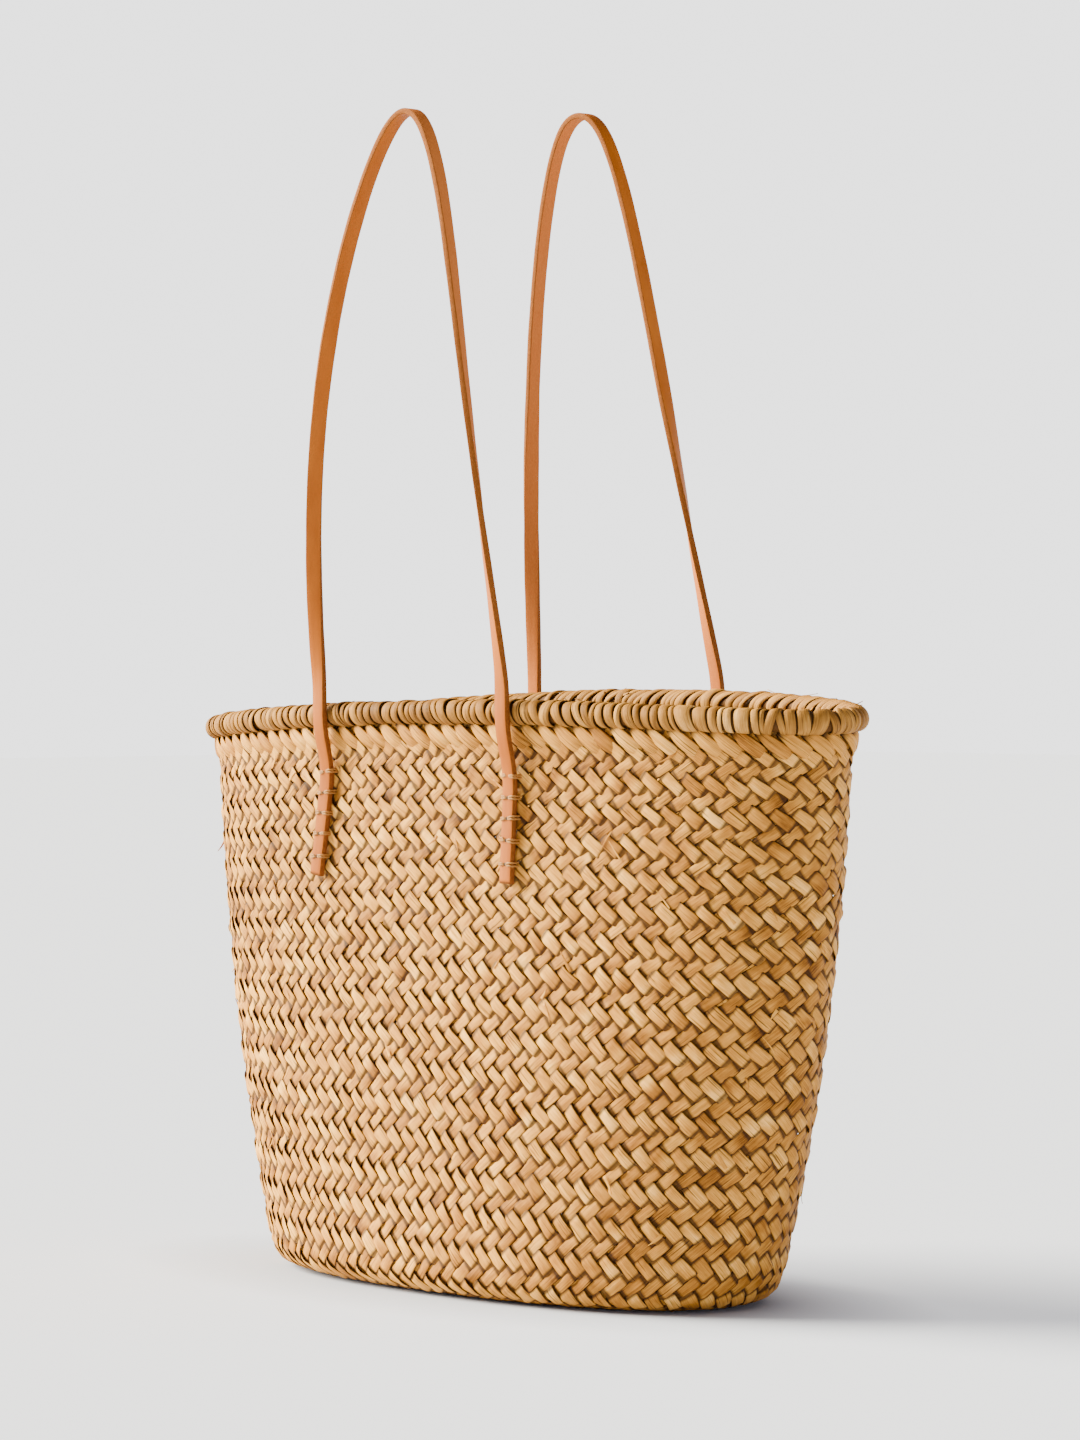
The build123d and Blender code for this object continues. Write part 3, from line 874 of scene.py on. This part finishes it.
def build_strap(side):
    """One unbroken strap: sewn end, quarter turn, arch, quarter turn, sewn end."""
    line, length = strap_line(side)
    rings, around = len(line), len(STRAP_SECTION)
    tangent = unit(np.gradient(line, axis=0))
    arch = ARCHES[side]
    share = np.clip((line[:, 2] - FLEX_HEIGHT) / arch["twist_rise"], 0.0, 1.0)
    twist = math.pi / 2 * share ** arch["twist_power"]
    relax(twist, 3)
    in_plane = np.stack([tangent[:, 2], np.zeros(rings), -tangent[:, 0]], -1)
    faced = np.array([0, arch["face_turn"], 0])
    width_way = in_plane * np.cos(twist)[:, None] - faced * np.sin(twist)[:, None]
    width_way = unit(width_way - tangent * np.sum(width_way * tangent, axis=1, keepdims=True))
    out_way = np.cross(width_way, tangent)
    wander = 0.10 * np.sin(length * 0.11) + 0.06 * np.sin(length * 0.29 + 1.0)
    across = STRAP_SECTION[:, 0][None, :] * STRAP_WIDTH / 2 * (1 + wander[:, None] / 8)
    swell = (1 + 0.03 * np.sin(length * 0.17))[:, None]
    outward = STRAP_SECTION[:, 1][None, :] * STRAP_THICKNESS / 2 * swell
    points = (line[:, None, :] + across[..., None] * width_way[:, None, :]
              + outward[..., None] * out_way[:, None, :]).reshape(-1, 3)
    faces = np.concatenate([tube_faces(rings, around), cap_faces(rings, around)])[:, ::-1]
    if side == REAR:
        points[:, 1] *= -1
        faces = faces[:, ::-1]
    edge = np.tile(STRAP_SECTION[:, 2], rings)
    edge[:around] = edge[-around:] = 1
    fibre = np.stack([np.repeat(length, around), across.ravel(), outward.ravel() + 10 * side], -1)
    attributes = {"edge": edge, "flesh": np.tile(STRAP_SECTION[:, 3], rings), "fibre": fibre}
    name = SIDE_NAMES[side]
    strap = make_object(f"{name}_strap", points, faces, attributes, LEATHER, body=None)
    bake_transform(strap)
    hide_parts(f"{name}_handle_strap", f"{name}_left_strap_end", f"{name}_right_strap_end")


for side in (FRONT, REAR):
    build_strap(side)


# ---------------------------------------------------------------- lashings
def thread(path, radius, around=8):
    """Points, faces and fibre coordinates of a twisted thread along a path."""
    path = np.asarray(path, dtype=float)
    length = path_lengths(path)
    fine = np.linspace(0, length[-1], max(int(length[-1] / THREAD_STEP), 6))
    line = resample(path, length, fine)
    relax(line, 3)
    tangent = unit(np.gradient(line, axis=0))
    aside = unit(np.cross(tangent, [0.1, 0.2, 1.0]))
    over = np.cross(tangent, aside)
    angle = np.arange(around) / around * 2 * math.pi
    swell = radius * (1 + 0.22 * np.cos(2 * angle[None, :] - fine[:, None] * 2.6))
    points = (line[:, None, :] + (swell * np.cos(angle))[..., None] * aside[:, None, :]
              + (swell * np.sin(angle))[..., None] * over[:, None, :]).reshape(-1, 3)
    faces = np.concatenate([tube_faces(len(line), around), cap_faces(len(line), around)])
    fibre = fibre_coordinates(fine, np.tile(angle, len(line)), fine[-1], around)
    return points, faces, fibre


def build_lashing(side, end, number, height):
    """Threads from both edges of a strap end into a stitch hole in its middle, a short rod painted near black
    as the hole's shade.
    """
    middle = strap_middle(side, end, height)
    face = strap_depth(side, end, height) + STRAP_THICKNESS / 2
    half, thick = STRAP_WIDTH / 2, STRAP_THICKNESS
    tilt = RNG.normal(0, 0.08)
    points, faces, fibres, holes, placed = [], [], [], [], 0
    # The stitch hole: a short rod sunk in the strap's face, painted near black for its shade
    sunk = -(face - 0.1)
    hole_path = [(middle - 0.1, sunk, height - 0.8), (middle + 0.1, sunk, height + 0.8)]
    paths = [(hole_path, HOLE_RADIUS, 1.0)]
    for hand in (LEFT, RIGHT):
        for lane in (-1, 1):
            spread = 0.55 * lane + RNG.normal(0, 0.12)
            near = 0.18 * lane + RNG.normal(0, 0.08)
            route = [(half + 0.8, -thick - 1.2, spread * 1.2), (half + 0.7, -thick * 0.5, spread * 1.1),
                     (half + 0.35, 0.1, spread), (half - 0.8, 0.42, spread), (half * 0.5, 0.46, spread * 0.9),
                     (0.9, 0.30, near), (0.15, -1.0, near)]
            path = [(middle + hand * a, -(face + out), height + rise + hand * a * tilt)
                    for a, out, rise in route]
            paths.append((path, THREAD_RADIUS, 0.0))
    for path, radius, painted_hole_shade in paths:
        part, part_faces, fibre = thread(path, radius)
        points.append(part)
        faces.append(part_faces + placed)
        fibres.append(fibre)
        holes.append(np.full(len(part), painted_hole_shade))
        placed += len(part)
    points = np.concatenate(points)
    faces = np.concatenate(faces)
    if side == REAR:
        points[:, 1] *= -1
        faces = faces[:, ::-1]
    name = f"{SIDE_NAMES[side]}_{END_NAMES[end]}_lashing_{number}"
    attributes = {"fibre": np.concatenate(fibres), "painted_hole_shade": np.concatenate(holes)}
    threads = make_object(f"{name}_threads", points, faces, attributes, THREAD)
    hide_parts(name)


for side in (FRONT, REAR):
    for end in (LEFT, RIGHT):
        for number, height in enumerate(LASHING_HEIGHTS, start=1):
            build_lashing(side, end, number, height)

# The rim's core keeps its CAD shape and shows only between turns
core_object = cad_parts["rim_core"]
core_object.data.materials.clear()
core_object.data.materials.append(RIM_STRAW)


# ---------------------------------------------------------------- camera, floor and light
CAMERA_AZIMUTH = math.radians(47.0)
CAMERA_DISTANCE = 2400.0
CAMERA_HEIGHT = 305.0
AIM_ASIDE = 10.5
AIM_HEIGHT = 281.3
PIXELS_PER_MM = 2.0         # at the basket's centre, in a frame FRAME_HEIGHT pixels high
FRAME_HEIGHT = 1440
SENSOR_HEIGHT = 24.0
KEY_TOWARDS = (-0.79, -0.42, 0.45)
KEY_STRENGTH = 26.0
KEY_SPREAD_DEGREES = 40
KEY_COLOUR = (1.0, 0.935, 0.68)
FLOOR_HALF_SIZE = 12.0      # metres
FLOOR_COLOUR = (0.43, 0.455, 0.585, 1)
GLOW_START, GLOW_END = 0.95, 1.7    # where the floor's glow starts and is full, in half sizes of the foot; the unglowing patch inside paints a contact shadow
GLOW_STRENGTH = 0.74
HORIZON_BAND = (0.15, 0.30)         # directions' heights between which the room goes from bright to soft
ROOM_STRENGTH = (2.6, 0.25)         # below and above that band
WHITE = (1, 1, 1, 1)


def add_camera():
    """The photo's camera, level with the rim and a long way off."""
    right = Vector((math.cos(CAMERA_AZIMUTH), math.sin(CAMERA_AZIMUTH), 0))
    back = Vector((math.sin(CAMERA_AZIMUTH), -math.cos(CAMERA_AZIMUTH), 0))
    eye = back * CAMERA_DISTANCE + Vector((0, 0, CAMERA_HEIGHT))
    aim = right * AIM_ASIDE + Vector((0, 0, AIM_HEIGHT))
    data = bpy.data.cameras.new("camera")
    data.sensor_fit = "VERTICAL"
    data.sensor_height = SENSOR_HEIGHT
    data.lens = SENSOR_HEIGHT * PIXELS_PER_MM * CAMERA_DISTANCE / FRAME_HEIGHT
    camera = add_object("camera", data)
    camera.location = eye * MM
    camera.rotation_euler = (aim - eye).to_track_quat("-Z", "Y").to_euler()
    bpy.context.scene.camera = camera


def add_sun():
    """Large soft key light a long way off."""
    data = bpy.data.lights.new("key", "SUN")
    data.energy = KEY_STRENGTH
    data.angle = math.radians(KEY_SPREAD_DEGREES)
    data.color = KEY_COLOUR
    light = add_object("key", data)
    light.rotation_euler = Vector(KEY_TOWARDS).to_track_quat("Z", "Y").to_euler()


def add_floor():
    """Pale paper floor that glows a little away from the basket, so it has no horizon; near the basket the
    glow fades out, which paints a soft shadow round it.
    """
    size = FLOOR_HALF_SIZE
    corners = [(-size, -size, 0), (size, -size, 0), (size, size, 0), (-size, size, 0)]
    mesh = bpy.data.meshes.new("floor")
    mesh.from_pydata(corners, [], [(0, 1, 2, 3)])
    floor = add_object("floor", mesh)
    n = Nodes("floor_paper")
    n.shader.inputs["Base Color"].default_value = FLOOR_COLOUR
    n.shader.inputs["Emission Color"].default_value = WHITE
    place = n.scaled(n.add("ShaderNodeTexCoord").outputs["Object"],
                     (1 / (FOOT_HALF_LENGTH * MM), 1 / (FOOT_HALF_DEPTH * MM), 0))
    reach = n.add("ShaderNodeVectorMath", operation="LENGTH")
    n.link(place, reach.inputs[0])
    # Painted shadow: no glow under and near the basket, full glow further out
    glow = n.spread(reach.outputs["Value"], GLOW_START, GLOW_END, 0.0, GLOW_STRENGTH)
    n.link(glow, n.shader.inputs["Emission Strength"])
    n.shader.inputs["Roughness"].default_value = 0.9
    n.shader.inputs["Specular IOR Level"].default_value = 0.0
    mesh.materials.append(n.material)


def add_surroundings():
    """White room: bright along the horizon, softer overhead."""
    world = bpy.data.worlds.new("studio")
    world.use_nodes = True
    nodes, links = world.node_tree.nodes, world.node_tree.links
    direction = nodes.new("ShaderNodeTexCoord")
    split = nodes.new("ShaderNodeSeparateXYZ")
    fade = nodes.new("ShaderNodeMapRange")
    fade.interpolation_type = "SMOOTHSTEP"
    for socket, value in zip(fade.inputs[1:5], HORIZON_BAND + ROOM_STRENGTH):
        socket.default_value = value
    links.new(direction.outputs["Generated"], split.inputs[0])
    links.new(split.outputs[2], fade.inputs[0])
    links.new(fade.outputs[0], nodes["Background"].inputs[1])
    nodes["Background"].inputs[0].default_value = WHITE
    bpy.context.scene.world = world


add_camera()
add_floor()
add_sun()
add_surroundings()
